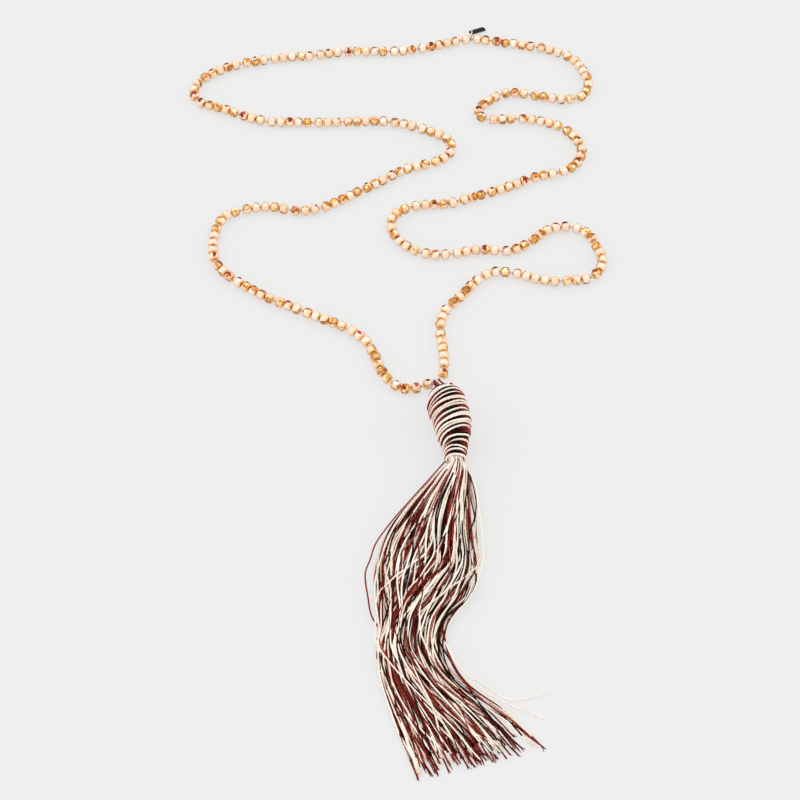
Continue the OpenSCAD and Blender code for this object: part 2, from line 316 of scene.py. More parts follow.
# The lustre's edge runs in waves of about a millimetre, up to a quarter of a radius either way
edge_waves = add(
    bead_glass,
    "TexNoise",
    {"Scale": 900.0, "Detail": 2.0},
    {"Vector": place.outputs["Object"]},
)
edge = add(
    bead_glass,
    "Math",
    {"operation": "MULTIPLY_ADD", 1: 0.5, 2: -0.25},
    {0: edge_waves.outputs["Fac"]},
)
level = add(bead_glass, "Math", {"operation": "ADD"}, {0: coat.outputs["Fac"], 1: edge.outputs[0]})
coated = add(bead_glass, "MapRange", {"From Min": -0.05, "From Max": 0.05}, {"Value": level.outputs[0]})
# A mix of colours has its share at socket 0 and the two colours at sockets 6 and 7
bare = add(
    bead_glass,
    "Mix",
    {"data_type": "RGBA", 6: linear(PEACH_PALE), 7: linear(PEACH_DEEP)},
    {0: tone.outputs["Fac"]},
)
# Towards its outline the glass is painted deeper: partly its own depth seen edge-on, partly painted
# shade at the rim
facing = add(bead_glass, "LayerWeight", {"Blend": 0.5})
rim = add(bead_glass, "Math", {"operation": "POWER", 1: 2.0}, {0: facing.outputs["Facing"]})
body = add(
    bead_glass,
    "Mix",
    {"data_type": "RGBA", 7: linear(PEACH_RIM_SHADE)},
    {0: rim.outputs[0], 6: bare.outputs[2]},
)
# A facet that turns away is painted with thinner, darker lustre: partly a thin film's real shift,
# partly painted shade
seen = add(
    bead_glass,
    "Math",
    {"operation": "MULTIPLY_ADD", 1: -TURNED_AWAY_SHADE},
    {0: facing.outputs["Facing"], 2: film.outputs["Fac"]},
)
lustre = add(bead_glass, "ValToRGB", {"stops": LUSTRE}, {"Fac": seen.outputs[0]})
glass_colour = add(
    bead_glass,
    "Mix",
    {"data_type": "RGBA"},
    {0: coated.outputs["Result"], 6: body.outputs[2], 7: lustre.outputs["Color"]},
)
# The painted gold glow round each hole
tinted = add(
    bead_glass,
    "Mix",
    {"data_type": "RGBA", 7: linear(HOLE_GOLD_GLOW)},
    {0: hole.outputs["Fac"], 6: glass_colour.outputs[2]},
)
# The thicker the lustre, the more it mirrors
gilt = add(
    bead_glass,
    "MapRange",
    {"From Max": 0.5, "To Min": 0.1, "To Max": 0.65},
    {"Value": film.outputs["Fac"]},
)
coating = add(
    bead_glass,
    "Math",
    {"operation": "MULTIPLY"},
    {0: coated.outputs["Result"], 1: gilt.outputs["Result"]},
)
mirror = add(
    bead_glass,
    "Math",
    {"operation": "MAXIMUM"},
    {0: coating.outputs[0], 1: hole.outputs["Fac"]},
)
# Light goes a few millimetres into the glass, which softens its shadows
glass = add(
    bead_glass,
    "BsdfPrincipled",
    {
        "Roughness": 0.08,
        "IOR": 1.52,
        "Coat Weight": 0.5,
        "Coat IOR": 1.6,
        "Coat Roughness": 0.03,
        "Subsurface Weight": 0.8,
        "Subsurface Radius": (1.0, 0.8, 0.6),
        "Subsurface Scale": 2.5 * MM,
    },
    {"Base Color": tinted.outputs[2], "Metallic": mirror.outputs[0]},
)
add(bead_glass, "OutputMaterial", {}, {"Surface": glass.outputs[0]})

for name, node, beads, seed in (
    ("rondelles_left", "beads_left", left_beads, 11),
    ("rondelles_right", "beads_right", right_beads, 12),
):
    rondelles = string_of_beads(name, beads, seed)
    rondelles.data.materials.append(bead_glass)
    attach(rondelles, "root")
    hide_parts(node)


# Thread
# A twisted polyester beading thread, off white, through every bead. It is knotted by hand
# in the wider gaps, after groups of three and five beads, and closes on itself.
THREAD_R = 0.3
THREAD_SIDES = 6
THREAD_TONE = 0.3
THREAD_COLOURS = [(0.0, "#FFF8F2"), (1.0, "#E5D3CA")]
# It runs straight through this share of a bead, and turns at this corner under the tassel's loop
STRAIGHT = 0.8
CORNER_MM = (26.9, -22.9, 3)
# A knot stands in each gap wider than KNOT_GAP. Its middle line goes round the thread's at KNOT_R,
# out and in by KNOT_OPEN of that, and along it by KNOT_RISE. Pulled tight, the thread is thinner.
KNOT_GAP = 1.2
KNOT_R = 0.5
KNOT_OPEN = 0.45
KNOT_RISE = 0.3
KNOT_TIGHT = 0.95
KNOT_TONE = 0.5
KNOT_POINTS = 30


def sweep(store, path, radius, sides, tone, ref=(0, 0, 1), closed=False):
    """Adds a round tube in mm along a path, with a map of its turn and its length.

    Its sides are counted from ref, one direction for the whole path or one for each point.
    """
    path = np.asarray(path, float)
    count = len(path)
    ahead = np.roll(path, -1, 0) - np.roll(path, 1, 0)
    if not closed:
        ahead[0] = path[1] - path[0]
        ahead[-1] = path[-1] - path[-2]
    ahead /= np.linalg.norm(ahead, axis=1)[:, None]
    side = np.cross(np.broadcast_to(np.asarray(ref, float), path.shape), ahead)
    side /= np.linalg.norm(side, axis=1)[:, None]
    up = np.cross(ahead, side)
    turn = 2 * np.pi * np.arange(sides) / sides
    radius = np.broadcast_to(np.asarray(radius, float), count)
    rim = np.cos(turn)[None, :, None] * side[:, None] + np.sin(turn)[None, :, None] * up[:, None]
    points = path[:, None] + radius[:, None, None] * rim
    steps = np.linalg.norm(np.roll(path, -1, 0) - path, axis=1)
    run = np.concatenate([[0], np.cumsum(steps)])
    spans = count if closed else count - 1
    i, k = np.meshgrid(np.arange(spans), np.arange(sides), indexing="ij")
    j, m = (i + 1) % count, (k + 1) % sides
    first = store["count"]
    corners = [i * sides + k, i * sides + m, j * sides + m, j * sides + k]
    quads = np.stack(corners, -1).reshape(-1, 4) + first
    store["faces"] += quads.tolist()
    u = np.stack([k, k + 1, k + 1, k], -1) / sides
    v = np.stack([run[i], run[i], run[i + 1], run[i + 1]], -1)
    store["map"] += np.stack([u, v], -1).reshape(-1, 2).tolist()
    if not closed:
        store["faces"].append([first + k for k in range(sides - 1, -1, -1)])
        store["faces"].append([first + (count - 1) * sides + k for k in range(sides)])
        store["map"] += [(0, 0)] * sides + [(0, run[count - 1])] * sides
    store["points"].append(points.reshape(-1, 3))
    store["tone"].append(np.repeat(np.broadcast_to(np.asarray(tone, float), count), sides))
    store["count"] += count * sides


def new_store():
    """An empty store, which gathers the tubes of one piece."""
    return {"points": [], "faces": [], "map": [], "tone": [], "count": 0}


def piece_of(name, store, material):
    """The swept tubes of a store as one piece, in metres."""
    mesh = bpy.data.meshes.new(name)
    mesh.from_pydata((np.concatenate(store["points"]) * MM).tolist(), [], store["faces"])
    layer = mesh.uv_layers.new(name="cord")
    layer.data.foreach_set("uv", np.array(store["map"], np.float32).ravel())
    tones = np.concatenate(store["tone"])
    mesh.attributes.new("tone", "FLOAT", "POINT").data.foreach_set("value", tones)
    mesh.polygons.foreach_set("use_smooth", [len(f) == 4 for f in store["faces"]])
    mesh.materials.append(material)
    piece = bpy.data.objects.new(name, mesh)
    bpy.context.scene.collection.objects.link(piece)
    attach(piece, "root")
    return piece


# How much painted shade darkens a groove between plies, how much a stain and a cord's own tone darken
# it (the tone also carries painted shade where it is set so), how far below the first colour a clean
# ridge starts, and how high the fibres stand, as a share of the plies' height
GROOVE_SHADE = 0.35
STAIN = 0.5
OWN_TONE = 0.6
CLEAN = -0.3
FIBRE = 0.25


def twisted(name, colours, plies, pitch, depth, roughness, sheen):
    """A twisted cord's material: plies wind round it once in pitch mm, with grooves depth mm deep and
    painted shade in them.
    """
    material = new_material(name)
    cord_map = add(material, "UVMap", {"uv_map": "cord"})
    parts = add(material, "SeparateXYZ", {}, {"Vector": cord_map.outputs[0]})
    round_it = add(
        material,
        "Math",
        {"operation": "MULTIPLY", 1: 2 * math.pi * plies},
        {0: parts.outputs["X"]},
    )
    along_it = add(
        material,
        "Math",
        {"operation": "MULTIPLY_ADD", 1: 2 * math.pi / pitch},
        {0: parts.outputs["Y"], 2: round_it.outputs[0]},
    )
    # The plies are wide and round, the grooves between them narrow
    wave = add(material, "Math", {"operation": "SINE"}, {0: along_it.outputs[0]})
    ridge = add(material, "MapRange", {"From Min": -1.0, "From Max": 0.6}, {"Value": wave.outputs[0]})
    # Fibres 0.2 mm apart, ten times coarser than real ones so that they show, and stains some 8 mm
    # long
    place = add(material, "TexCoord").outputs["Object"]
    fibres = add(material, "TexNoise", {"Scale": 5000.0, "Detail": 1.0}, {"Vector": place})
    stains = add(material, "TexNoise", {"Scale": 120.0, "Detail": 2.0}, {"Vector": place})
    tone = add(material, "Attribute", {"attribute_name": "tone"})
    # Painted shade in the grooves between plies, where the ridges shade them
    groove_shade = add(
        material,
        "Math",
        {"operation": "MULTIPLY_ADD", 1: -GROOVE_SHADE, 2: GROOVE_SHADE},
        {0: ridge.outputs["Result"]},
    )
    stains_and_groove_shade = add(
        material,
        "Math",
        {"operation": "MULTIPLY_ADD", 1: STAIN},
        {0: stains.outputs["Fac"], 2: groove_shade.outputs[0]},
    )
    shaded = add(
        material,
        "Math",
        {"operation": "MULTIPLY_ADD", 1: OWN_TONE},
        {0: tone.outputs["Fac"], 2: stains_and_groove_shade.outputs[0]},
    )
    lighter = add(
        material,
        "Math",
        {"operation": "ADD", 1: CLEAN, "use_clamp": True},
        {0: shaded.outputs[0]},
    )
    colour = add(material, "ValToRGB", {"stops": colours}, {"Fac": lighter.outputs[0]})
    height = add(
        material,
        "Math",
        {"operation": "MULTIPLY_ADD", 1: FIBRE},
        {0: fibres.outputs["Fac"], 2: ridge.outputs["Result"]},
    )
    bump = add(
        material,
        "Bump",
        {"Strength": 1.0, "Distance": depth * MM},
        {"Height": height.outputs[0]},
    )
    shader = add(
        material,
        "BsdfPrincipled",
        {
            "Roughness": roughness,
            "Specular IOR Level": 0.1,
            "Sheen Weight": sheen,
            "Sheen Roughness": 0.4,
        },
        {"Base Color": colour.outputs["Color"], "Normal": bump.outputs[0]},
    )
    add(material, "OutputMaterial", {}, {"Surface": shader.outputs[0]})
    return material


def through(beads):
    """Points of the thread through a string, and the middle and heading of each knot."""
    points, knots = [], []
    reach = BEAD_L / 2
    for i, (centre, axis) in enumerate(beads):
        centre = centre / MM
        points += [centre - axis * reach * STRAIGHT, centre + axis * reach * STRAIGHT]
        if i + 1 < len(beads):
            ahead, aim = beads[i + 1]
            out = centre + axis * reach
            into = ahead / MM - aim * reach
            middle = (out + into) / 2
            points.append(middle)
            if np.linalg.norm(into - out) > KNOT_GAP:
                knots.append((middle, (into - out) / np.linalg.norm(into - out)))
    return points, knots


left_points, left_knots = through(left_beads)
right_points, right_knots = through(right_beads)
ring_point = (left_beads[0][0] + right_beads[0][0]) / 2 / MM
thread_path = [ring_point] + left_points + [np.array(CORNER_MM)] + right_points[::-1]
thread_store = new_store()
sweep(thread_store, thread_path, THREAD_R, THREAD_SIDES, THREAD_TONE, closed=True)
for middle, aim in left_knots + right_knots:
    side = np.cross((0, 0, 1), aim)
    up = np.array((0, 0, 1.0))
    turn = 2 * np.pi * np.arange(KNOT_POINTS) / KNOT_POINTS
    # A tight overhand knot has the path of a trefoil
    wide = KNOT_R * (1 + KNOT_OPEN * np.cos(3 * turn))
    path = (
        middle
        + (wide * np.cos(2 * turn))[:, None] * side
        + (wide * np.sin(2 * turn))[:, None] * up
        + (KNOT_RISE * np.sin(3 * turn))[:, None] * aim
    )
    radius = THREAD_R * KNOT_TIGHT
    sweep(thread_store, path, radius, THREAD_SIDES, KNOT_TONE, ref=path - middle, closed=True)
# Three fine plies of polyester, with a soft sheen
beading_thread = twisted(
    "twisted_polyester_thread",
    THREAD_COLOURS,
    plies=3,
    pitch=1.2,
    depth=0.04,
    roughness=0.6,
    sheen=0.2,
)
thread = piece_of("beading_thread_knotted", thread_store, beading_thread)
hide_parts("thread")


# Tassel loop
# Three round waxed viscose cords, 1.2 mm thick, in cream and in chestnut brown. They go over the
# thread side by side and down into the head, and the tassel hangs on them.
CORD_R = 0.6
# Cream, and the painted shade that grooves and the top of the head take
CREAMS = [(0.0, "#FFF7EC"), (1.0, "#D6C2AA")]
# The brown cords are dusty where they are worn; their nearly black end is painted shade, reached in
# grooves, along the top of the head and in the strands beneath
BROWNS = [(0.0, "#B07F70"), (0.08, "#A83C2A"), (0.45, "#7C2416"), (1.0, "#0E0201")]
# Two plies of waxed viscose: the wax gives the ridges a dull shine and lays most of the fluff
cream_cord = twisted(
    "waxed_viscose_cord_cream",
    CREAMS,
    plies=2,
    pitch=2.4,
    depth=0.06,
    roughness=0.45,
    sheen=0.2,
)
brown_cord = twisted(
    "waxed_viscose_cord_brown",
    BROWNS,
    plies=2,
    pitch=2.4,
    depth=0.06,
    roughness=0.42,
    sheen=0.05,
)

# Where the loop crosses the thread, which way it lies, how far it runs to the head, how tightly it
# bends, how far apart its cords lie, and how high the thread lies in it
LOOP_AT = np.array((24.9, -23.5, 0))
LOOP_DIR = np.array((0.298, -0.955, 0))
LOOP_RUN = 13.1
LOOP_R = 1.25
LOOP_SPACING = 1.3
LOOP_STEPS = 5
LOOP_SIDES = 10
LOOP_TONE = 0.4
STRAND_Z = 3
# The middle of the head's upper end
HEAD_TOP = np.array((28.8, -36, 12))
# A leg of the loop: share of the way to the head, share of the rise, half the legs' spread
LEG = [(0.35, 0.36, 1.2), (0.75, 0.8, 1.1), (0.955, 1, 1), (1.1, 0.98, 1)]


def smooth(points, steps):
    """A smooth curve through points, with steps samples to each span."""
    p = np.asarray(points, float)
    p = np.concatenate([[2 * p[0] - p[1]], p, [2 * p[-1] - p[-2]]])
    t = (np.arange(steps) / steps)[:, None]
    spans = []
    for a, b, c, d in zip(p[:-3], p[1:-2], p[2:-1], p[3:]):
        square = (2 * a - 5 * b + 4 * c - d) * t**2
        cube = (3 * b - a - 3 * c + d) * t**3
        spans.append((2 * b + (c - a) * t + square + cube) / 2)
    return np.concatenate(spans + [p[-2:-1]])


def loop_leg(side):
    """One leg of the loop, above or below the other: how far from the thread and how high."""
    rise = HEAD_TOP[2] - STRAND_Z
    return [(LOOP_RUN * far, STRAND_Z + rise * high + side * half) for far, high, half in LEG]


bend = [
    (LOOP_R * math.cos(math.radians(a)), STRAND_Z + LOOP_R * math.sin(math.radians(a)))
    for a in (90, 135, 180, 225, 270)
]
loop_line = loop_leg(1)[::-1] + bend + loop_leg(-1)
loop_side = np.array((-LOOP_DIR[1], LOOP_DIR[0], 0))
loop_stores = {"cream": new_store(), "brown": new_store()}
for k, tint in ((-1, "brown"), (0, "cream"), (1, "brown")):
    beside = loop_side * k * LOOP_SPACING
    line = [LOOP_AT + LOOP_DIR * far + (0, 0, high) + beside for far, high in loop_line]
    sweep(loop_stores[tint], smooth(line, LOOP_STEPS), CORD_R, LOOP_SIDES, LOOP_TONE, ref=loop_side)
for tint, material in (("cream", cream_cord), ("brown", brown_cord)):
    loop = piece_of("tassel_loop_" + tint, loop_stores[tint], material)
    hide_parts("tassel_loop")


# Tassel head
# The top of the tassel is bound by winding cream and brown cords side by side, on a slant,
# down to the neck. The strands' folded tops show round the loop, at the upper end.
HEAD_L = 44.5
# A point that it runs towards from its upper end
HEAD_AIM = np.array((33.8, -80, 8))
# Its outline: share of its length, radius
HEAD_ROWS = [
    (0, 5.5),
    (0.045, 7.8),
    (0.11, 9.5),
    (0.2, 10.3),
    (0.31, 10.5),
    (0.43, 10.2),
    (0.54, 9.6),
    (0.65, 8.8),
    (0.74, 7.8),
    (0.83, 6.6),
    (0.9, 5.9),
    (1, 5.3),
]
# It leans to the right below its shoulder: how far, where along its length that begins and how
# long it takes, and the same for the way back
LEAN = 1.1
LEAN_OUT = (0.2, 0.25)
LEAN_BACK = (0.8, 0.2)
WIND_R = 0.6
WIND_SIDES = 8
WIND_STEPS = 60
# The first and the last place of a round, and how many steps its bends are spread over
WIND_PLACES = (0.005, 0.99)
BEND_STEPS = 9
# How far a round strays from its place, in cord radii, how far it sinks in or stands proud, in mm,
# and at how many marks round the head that changes
WANDER = 0.7
PROUD = (-0.15, 0.6)
MARKS = 7
# Its tone, and how much darker it is painted along the top, a painted shade for the dark room that the
# top reflects. The higher the power, the narrower that strip.
WIND_TONE = {"cream": (-0.2, 0.4), "brown": (0.1, 0.5)}
TOP_PAINTED_SHADE = {"cream": 0.3, "brown": 1.5}
TOP_SHADE_POWER = 5
# The further cords of a band: how far each lies from the first, in cord radii, and how deep, in mm
BAND_STEP = 1.7
BAND_SINK = 0.1
# Rounds of the brown cords: how far down the head they lie at the left, the upper left, the top,
# the upper right and the right, as shares of its length, how many cords lie together, and at what
# angle from the right their band is widest. The last row is the head's end.
BROWN_ROUNDS = [
    (0.13, 0.03, 0.01, 0.035, 0.06, 1, 0),
    (0.26, 0.18, 0.1, 0.07, 0.08, 1, 0),
    (0.33, 0.24, 0.155, 0.12, 0.11, 1, 0),
    (0.35, 0.275, 0.213, 0.175, 0.13, 2, 30),
    (0.38, 0.34, 0.31, 0.26, 0.2, 1, 0),
    (0.5, 0.45, 0.393, 0.335, 0.3, 2, 120),
    (0.57, 0.52, 0.475, 0.41, 0.37, 1, 0),
    (0.64, 0.59, 0.55, 0.493, 0.45, 1, 0),
    (0.72, 0.68, 0.64, 0.59, 0.54, 1, 0),
    (0.8, 0.745, 0.7, 0.655, 0.62, 2, 60),
    (0.85, 0.81, 0.78, 0.77, 0.74, 1, 0),
    (0.88, 0.83, 0.835, 0.843, 0.82, 2, 50),
    (0.92, 0.889, 0.888, 0.905, 0.91, 1, 0),
    (0.965, 0.935, 0.95, 0.96, 0.96, 2, 80),
    (1.0, 1.0, 1.0, 1.0, 1.0, 0, 0),
]

head_axis = (HEAD_AIM - HEAD_TOP) / np.linalg.norm(HEAD_AIM - HEAD_TOP)
head_right = np.cross((0, 0, 1), head_axis)
head_right /= np.linalg.norm(head_right)
head_up = np.cross(head_axis, head_right)
round_angle = np.arange(WIND_STEPS) * 2 * np.pi / WIND_STEPS


def eased(x):
    """From 0 to 1 as x does, slowly at both ends."""
    x = np.clip(x, 0, 1)
    return x * x * (3 - 2 * x)


def head_middle(share):
    """Points on the head's own line, at shares of its length."""
    out = eased((share - LEAN_OUT[0]) / LEAN_OUT[1])
    back = eased((share - LEAN_BACK[0]) / LEAN_BACK[1])
    lean = LEAN * out * (1 - back)
    return HEAD_TOP + share[:, None] * HEAD_L * head_axis + lean[:, None] * head_right


def on_head(share, angle, lift):
    """Points on the head at a share of its length, an angle round it and a lift off its outline."""
    share = np.clip(share, *WIND_PLACES)
    out = np.interp(share, *zip(*HEAD_ROWS)) + lift
    ray = np.cos(angle)[:, None] * head_right + np.sin(angle)[:, None] * head_up
    return head_middle(share) + out[:, None] * ray, ray


def once_round(left, upper_left, top, upper_right, right):
    """How far down the head one round lies at each angle, eased so that it has no corner."""
    under = (left + right) / 2
    corners = [right, upper_right, top, upper_left, left, under, right]
    share = np.interp(np.degrees(round_angle), [0, 45, 90, 135, 180, 270, 360], corners)
    bends = np.ones(BEND_STEPS) / BEND_STEPS
    return np.convolve(np.tile(share, 3), bends, "same")[WIND_STEPS : 2 * WIND_STEPS]


wind_stores = {"cream": new_store(), "brown": new_store()}
wind_rng = np.random.default_rng(5)


def round_marks(low, high):
    """A value that changes by chance round the head, and closes on itself."""
    marks = wind_rng.uniform(low, high, MARKS)
    marks[-1] = marks[0]
    return np.interp(round_angle, np.linspace(0, 2 * np.pi, MARKS), marks)


def wind(share, tint, sunk=0.0):
    """One round of cord, pressed in and wandering a little as it goes, painted darker along the top."""
    wander = round_marks(-WANDER, WANDER) * WIND_R / HEAD_L
    line, ray = on_head(share + wander, round_angle, round_marks(*PROUD) - WIND_R - sunk)
    # Underneath, the head's weight presses the rounds flat on the table
    line[:, 2] = np.maximum(line[:, 2], WIND_R)
    # Painted shade along the top of the head
    top = np.maximum(0, np.sin(round_angle)) ** TOP_SHADE_POWER
    tone = wind_rng.uniform(*WIND_TONE[tint]) + TOP_PAINTED_SHADE[tint] * top
    sweep(wind_stores[tint], line, WIND_R, WIND_SIDES, tone, ref=ray, closed=True)


for row, after in zip(BROWN_ROUNDS[:-1], BROWN_ROUNDS[1:]):
    here = once_round(*row[:5])
    there = once_round(*after[:5])
    cords, widest = row[5:]
    half = WIND_R / HEAD_L
    # The further cords of a band slip under the first at one side and lie beside it at the other
    beside = 0.5 + 0.5 * np.cos(round_angle - math.radians(widest))
    lower = here
    for k in range(1, cords):
        lower = here + BAND_STEP * k * beside * half
        wind(lower, "brown", BAND_SINK * k)
    wind(here, "brown")
    # Cream rounds fill the space to the next band, as many as lie side by side along the top
    fill = max(1, round((there - lower)[WIND_STEPS // 4] / (2 * half) - 1))
    for k in range(fill):
        wind(lower + (there - lower) * (k + 1) / (fill + 1), "cream")

# Some folded tops stand up beside the loop: where they leave the head and come back to it, and
# how high they stand. Their feet go into the head, and at the waist they begin to bend over.
ARCHES = [("brown", -2.6, -3.6, 4.5), ("cream", 2.5, 3.5, 5), ("brown", 4.0, 4.8, 3.2)]
ARCH_FOOT = -1.5
ARCH_WAIST = 0.6
FOLD_STEPS = 4
FOLD_TONE = 0.4
for tint, near, far, high in ARCHES:
    middle = (near + far) / 2
    waist = ARCH_WAIST * high
    places = [(near, ARCH_FOOT), (near, waist), (middle, high), (far, waist), (far, ARCH_FOOT)]
    arch = [HEAD_TOP + out * loop_side - up * LOOP_DIR for out, up in places]
    sweep(wind_stores[tint], smooth(arch, FOLD_STEPS), WIND_R, WIND_SIDES, FOLD_TONE, ref=head_up)
# The other folded tops spread from the loop and go down under the first rounds. Every second one
# comes up between its neighbours further out. Their points: how far out, how far down
FOLDS = 30
FOLD_NEAR = [(1.2, 0.9), (3, 0.2), (5, 1), (6.6, 3.2)]
FOLD_FAR = [(3.3, 1.2), (4.2, 0.8), (5.4, 1.4), (6.8, 3.4)]
for k in range(FOLDS):
    angle = 2 * math.pi * k / FOLDS
    ray = math.cos(angle) * head_right + math.sin(angle) * head_up
    places = FOLD_NEAR if k % 2 == 0 else FOLD_FAR
    fold = [HEAD_TOP + out * ray + down * head_axis for out, down in places]
    tint = "brown" if k % 3 == 0 else "cream"
    aside = np.cross(ray, head_axis)
    sweep(wind_stores[tint], smooth(fold, FOLD_STEPS), WIND_R, WIND_SIDES, FOLD_TONE, ref=aside)
for tint, material in (("cream", cream_cord), ("brown", brown_cord)):
    winding = piece_of("head_winding_" + tint, wind_stores[tint], material)
    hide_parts("tassel_head")


# Tassel skirt
# Some 280 waxed viscose cords, gripped by the winding, leave the head's neck, fan out to the left,
# sweep back across each other and lie down on the table, where their cut ends spread.

# Sections of the skirt: left x, left y, right x, right y, middle height, thickness
SKIRT_ROWS = [
    (30.8, -82.5, 37.2, -82, 7.8, 7.2),
    (22, -90, 41.5, -87.5, 7, 9),
    (7, -109, 42.5, -105, 5.6, 9),
    (-2.5, -125.5, 42.5, -125.5, 4.8, 8.6),
    (-6.5, -143, 44, -145, 4.2, 8),
    (-6.5, -162, 39, -161.5, 3.8, 7.4),
    (-5, -178.5, 29, -178, 3.7, 7.4),
    (-6, -193, 28, -193, 3.4, 6.8),
    (-3, -211.5, 36, -210, 3, 5.8),
    (4, -234.5, 53, -226.5, 2.3, 4.6),
    (12.5, -257, 67, -243, 1.5, 3),
]
SECTION_STEPS = 5
# Its length along the middle, in mm
SKIRT_RUN = 182
CREAM_R = 0.49
BROWN_R = 0.4
STRAND_SIDES = 6
# The strands in the neck: how far from its middle, and two places along the head
NECK_R = 4.2
NECK_PLACES = (0.86, 0.98)
# How far across the skirt a strand may lie, and how much of its thickness the skirt loses sideways
ACROSS = (-0.02, 1.05)
CROWN = 0.75
# Plies of a cut end: how far they spread for each millimetre and how far each one leans from that,
# how far they reach, in mm, how far inside the end they start, how far apart, and how thick they
# are from there to the tip, both in cord radii
FRAY_SPREAD = 0.5
FRAY_LEAN = 0.4
FRAY_REACH = (0.8, 2.2)
FRAY_INSIDE = 0.5
FRAY_APART = 0.4
FRAY_THICK = (0.6, 0.5, 0.25)
FRAY_SIDES = 4
# Groups of cords, by their count, their share of cream, and ranges: where they lie across the skirt
# at the top, how far they sweep left, where that begins along it, where they end, and their layer
GROUPS = [
    (116, 0.0, (0.07, 0.95), (0.0, 0.1), (0.2, 0.4), (0.05, 0.7), (0.0, 0.3)),
    (46, 0.35, (0.0, 1.0), (0.0, 0.15), (0.2, 0.4), (0.0, 0.95), (0.3, 0.7)),
    (24, 0.65, (0.0, 0.25), (-0.03, 0.05), (0.2, 0.4), (0.0, 0.25), (0.6, 1.0)),
    (28, 0.45, (0.2, 0.5), (-0.05, 0.22), (0.16, 0.4), (0.1, 0.6), (0.6, 0.95)),
    (26, 0.45, (0.4, 0.85), (0.1, 0.5), (0.2, 0.42), (0.15, 0.95), (0.7, 1.0)),
    (12, 0.6, (0.5, 0.9), (0.25, 0.6), (0.26, 0.44), (0.1, 0.85), (0.9, 1.0)),
    (9, 0.5, (0.8, 1.04), (0.1, 0.45), (0.32, 0.42), (0.5, 1.0), (0.6, 1.0)),
    (14, 0.3, (0.8, 1.04), (0.0, 0.05), (0.2, 0.4), (0.8, 1.04), (0.5, 1.0)),
]
# Each strand takes the next step of this share through its group's colours, so that they mix
# evenly, give or take a chance
GOLDEN = 0.618
MIXING = 0.3
# The same for how far a strand's end lies to one side of the others', at most half of CROSSING
SILVER = 0.755
CROSSING = 0.5
# In shares of its length, how long a strand takes to come loose from the neck and to sweep left,
# and where it begins to go back and how long that takes
LOOSE = 0.22
SWEEP_LASTS = (0.2, 0.32)
GATHER_BEGINS = (0.55, 0.7)
GATHER_LASTS = 0.42
# A strand wanders across the skirt, and up and down in it, in waves: their lengths in mm, their
# size as a share of the skirt's, and how large the second wave is beside the first
WANDER_WAVES = (45, 110)
WANDER_SIZE = (0.012, 0.045)
LIFT_WAVES = (50, 110)
LIFT_SIZE = 0.1
SECOND_WAVE = 0.6
# Neighbours draw together in locks: their number across the skirt, their slant and their pull
LOCKS = 7
LOCK_SLANT = 0.5
LOCK_PULL = 0.008
# The cream cords dive in among the brown ones further down: how deep, from where and how fast
DIVE = (0, 0.15)
DIVE_FROM = 0.5
DIVE_LASTS = 0.3
# A strand's tone. The cords beneath are dusty, each so many in turn, or painted nearly black: painted
# shade in the gaps between the strands above.
STRAND_TONE = {"cream": (-0.3, 0.9), "brown": (-0.1, 1.8)}
DUSTY = (-0.35, -0.1)
DUSTY_EVERY = 4
NEARLY_BLACK_SHADE = (1.5, 2.5)
# At the cut end every strand has the same tone, from here on
CUT_TONE = 0.5
CUT_FROM = 0.97
CUT_LASTS = 0.03
# How far a strand's end lies beyond the skirt's, or short of it, in steps of the sections
TIP = {"cream": (-2.2, 0.8), "brown": (-2.8, 1.3)}
sections = smooth(SKIRT_ROWS, SECTION_STEPS)
along = np.linspace(0, 1, len(sections))
skirt_stores = {"cream": new_store(), "brown": new_store()}
skirt_rng = np.random.default_rng(21)


def fray(store, end, ahead, r, tone):
    """The plies of a cut end, which have begun to untwist."""
    ahead = ahead / np.linalg.norm(ahead)
    side = np.cross((0, 0, 1), ahead)
    spread = skirt_rng.uniform(0, FRAY_SPREAD)
    for k in (-1, 0, 1):
        aim = ahead + side * spread * (k + skirt_rng.uniform(-FRAY_LEAN, FRAY_LEAN))
        reach = skirt_rng.uniform(*FRAY_REACH)
        start = end - ahead * FRAY_INSIDE + side * k * r * FRAY_APART
        plies = [start, end + aim * reach / 2, end + aim * reach]
        plies = [(x, y, max(z, r)) for x, y, z in plies]
        sweep(store, plies, [r * share for share in FRAY_THICK], FRAY_SIDES, tone)


def lay_strand(tint, across, layer, tip, tone):
    """One cord from inside the neck to its cut end, by its place across and up in each section."""
    across = np.clip(across, *ACROSS)
    layer = np.clip(layer, 0, 1)
    left_x, left_y, right_x, right_y, middle, thick = sections.T
    crown = np.sqrt(1 - CROWN * np.clip(2 * across - 1, -1, 1) ** 2)
    r = CREAM_R if tint == "cream" else BROWN_R
    z = middle - thick / 2 + r + np.maximum(0, thick * crown - 2 * r) * layer
    x = left_x + (right_x - left_x) * across
    y = left_y + (right_y - left_y) * across
    lain = np.stack([x, y, z], -1)
    lain[-1] += (lain[-1] - lain[-2]) * tip
    lain[-1, 2] = max(lain[-1, 2], r)
    out = np.clip(2 * across[0] - 1, -1, 1) * NECK_R
    high = (2 * layer[0] - 1) * math.sqrt(NECK_R**2 - out**2)
    neck = HEAD_TOP + out * head_right + high * head_up
    inside = [neck + share * HEAD_L * head_axis for share in NECK_PLACES]
    tone = np.concatenate([[tone[0], tone[0]], tone])
    sweep(skirt_stores[tint], np.concatenate([inside, lain]), r, STRAND_SIDES, tone)
    fray(skirt_stores[tint], lain[-1], lain[-1] - lain[-2], r, tone[-1])


